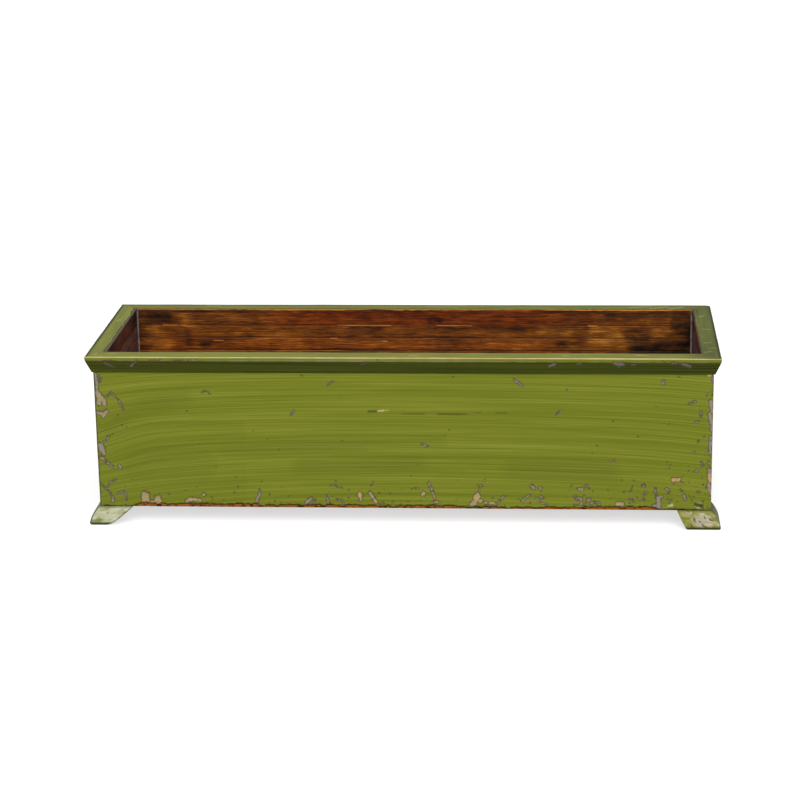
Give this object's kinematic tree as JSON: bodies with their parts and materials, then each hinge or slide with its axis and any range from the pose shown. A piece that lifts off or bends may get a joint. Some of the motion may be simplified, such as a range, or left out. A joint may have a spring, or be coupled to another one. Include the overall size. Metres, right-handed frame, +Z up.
{
  "type": "wooden planter",
  "caption": "Long rectangular wooden planter box with a bevelled mitred rim, splayed bracket feet and a slatted draining bottom, in worn green paint outside and brown stain inside.",
  "frame": {"origin": "on the floor, under the middle of the planter", "axes": "+X along the length to the right seen from the front, +Y towards the back, +Z up"},
  "size_m": [0.922, 0.313, 0.2565],
  "materials": {
    "painted_wood": "brushed green paint, worn",
    "bare_wood": "brown stain, matte",
    "zinc_steel": "zinc plated",
    "sealant": "matte"
  },
  "bodies": {
    "root": {"front_wall": "painted_wood", "back_wall": "painted_wood", "left_end_wall": "painted_wood", "right_end_wall": "painted_wood", "rim_front": "painted_wood", "rim_right": "painted_wood", "rim_back": "painted_wood", "rim_left": "painted_wood", "front_left_foot_face": "painted_wood", "front_left_foot_return": "painted_wood", "front_right_foot_face": "painted_wood", "front_right_foot_return": "painted_wood", "back_left_foot_face": "painted_wood", "back_left_foot_return": "painted_wood", "back_right_foot_face": "painted_wood", "back_right_foot_return": "painted_wood", "front_left_foot_block": "bare_wood", "front_right_foot_block": "bare_wood", "back_left_foot_block": "bare_wood", "back_right_foot_block": "bare_wood", "cleat_front": "bare_wood", "cleat_back": "bare_wood", "bottom_slat_1": "bare_wood", "bottom_slat_2": "bare_wood", "bottom_slat_3": "bare_wood", "bottom_slat_4": "bare_wood", "bottom_slat_5": "bare_wood", "bottom_slat_6": "bare_wood", "bottom_slat_7": "bare_wood", "bottom_slat_8": "bare_wood", "bottom_slat_9": "bare_wood", "corner_nails": "zinc_steel", "rim_nails": "zinc_steel", "slat_brads": "zinc_steel", "foot_brads": "zinc_steel", "cleat_screws": "zinc_steel", "foot_screws": "zinc_steel", "corner_beads": "sealant"}
  },
  "joints": []
}
